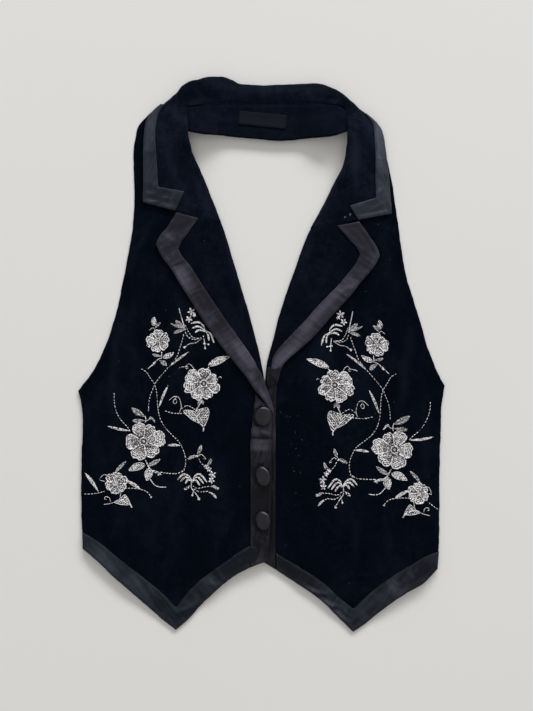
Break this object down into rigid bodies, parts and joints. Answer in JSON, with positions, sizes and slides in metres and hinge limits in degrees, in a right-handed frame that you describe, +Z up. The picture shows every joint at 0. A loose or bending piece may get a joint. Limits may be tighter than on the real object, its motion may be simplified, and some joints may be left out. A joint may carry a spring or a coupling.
{
  "type": "embroidered velvet halter waistcoat, laid flat",
  "caption": "Halter-neck velvet waistcoat laid flat, buttoned, with a notched collar, turned-out lapels, a pointed hem, satin bands and embroidered fronts.",
  "frame": {"origin": "centre of the bounding box's underside, on the surface that the waistcoat lies on", "axes": "+X towards the wearer's left side seam, +Y from the hem to the collar, +Z up out of the surface, away from the back panel"},
  "size_m": [0.422, 0.6389, 0.0142],
  "materials": {
    "velvet": "short-pile blue-black velvet, soft pale sheen where the pile turns away",
    "back_cloth": "plain dark lining cloth, matt",
    "satin": "dark grey-purple satin ribbon, soft gloss with pressed creases",
    "label": "woven black label, blank",
    "button": "satin-covered domed button"
  },
  "bodies": {
    "root": {"front_right": "velvet", "front_left": "velvet", "back": "back_cloth", "neck_band": "velvet", "collar": "velvet", "lapel_right": "velvet", "lapel_left": "velvet", "lapel_band_right": "satin", "lapel_band_left": "satin", "collar_band_right": "satin", "collar_band_left": "satin", "front_band_right": "satin", "front_band_left": "satin", "hem_band_right": "satin", "hem_band_left": "satin", "label": "label", "button_1": "button", "button_2": "button", "button_3": "button"}
  },
  "joints": []
}
